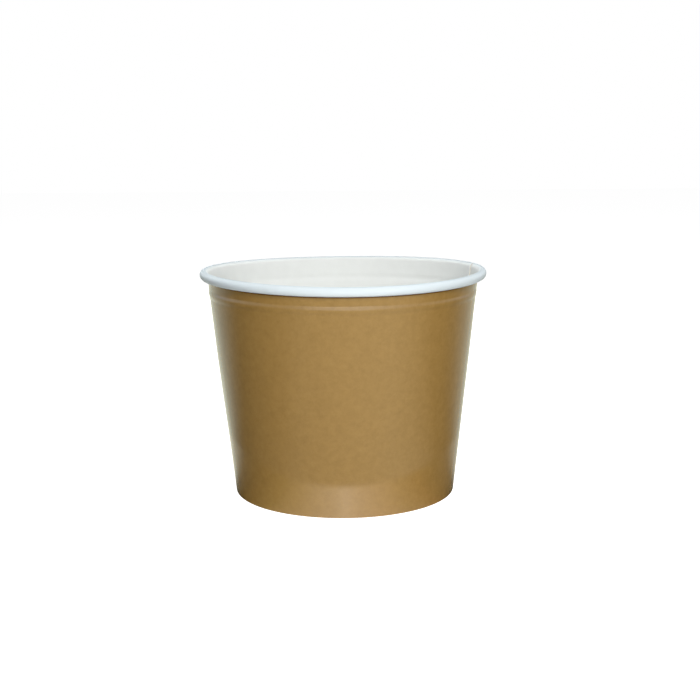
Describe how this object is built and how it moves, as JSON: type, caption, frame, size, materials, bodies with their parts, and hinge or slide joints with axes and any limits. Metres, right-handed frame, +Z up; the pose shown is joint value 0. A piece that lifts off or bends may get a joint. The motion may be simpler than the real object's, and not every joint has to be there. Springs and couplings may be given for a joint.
{
  "type": "paper food bucket",
  "caption": "Round tapered bucket of coated board with a rolled rim, a bead below it, a lapped side seam and a recessed flat bottom.",
  "frame": {"origin": "on the bucket's axis, at the surface it stands on", "axes": "+Z up along the axis, from the foot to the rim; -Y towards the viewer; the side seam's inner edge lies 13 degrees from +X towards +Y"},
  "size_m": [0.1824, 0.1822, 0.144],
  "materials": {
    "printed_board": "satin",
    "white_board": "satin"
  },
  "bodies": {
    "root": {"sidewall": "printed_board", "bottom_disc": "white_board"}
  },
  "joints": []
}
